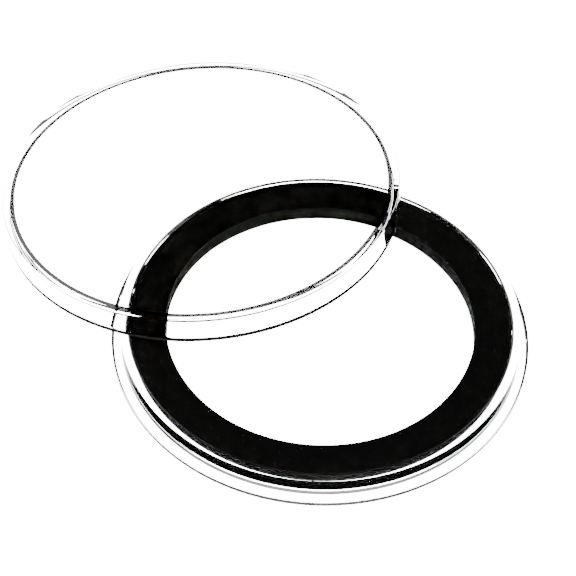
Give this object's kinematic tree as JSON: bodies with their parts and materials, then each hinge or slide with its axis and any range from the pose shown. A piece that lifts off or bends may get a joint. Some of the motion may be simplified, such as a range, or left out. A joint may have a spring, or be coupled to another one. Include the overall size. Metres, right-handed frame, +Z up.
{
  "type": "coin capsule",
  "caption": "Clear round two-half capsule with a foam ring that centres a coin, laid open with its lid leaning on the base.",
  "frame": {"origin": "centre of the base half's flat underside", "axes": "+Z up out of the base towards the open well; the lid lies towards -X and +Y"},
  "size_m": [0.0584, 0.0628, 0.0075],
  "materials": {
    "base_acrylic": "clear polished acrylic",
    "lid_acrylic": "clear polished acrylic",
    "ring_foam": "fine closed-cell foam, die-cut, matt black"
  },
  "bodies": {
    "base": {"base_half": "base_acrylic"},
    "ring": {"foam_ring": "ring_foam"},
    "lid": {"lid_half": "lid_acrylic"}
  },
  "joints": [
    {"name": "lid_lift", "type": "slide", "parent": "base", "child": "lid", "axis": [0, 0, 1], "range_m": [0, 0.03]},
    {"name": "ring_lift", "type": "slide", "parent": "base", "child": "ring", "axis": [0, 0, 1], "range_m": [0, 0.015]}
  ],
  "couplings": [
    {"joint": "ring_lift", "follows": "lid_lift", "ratio": 0.5}
  ]
}
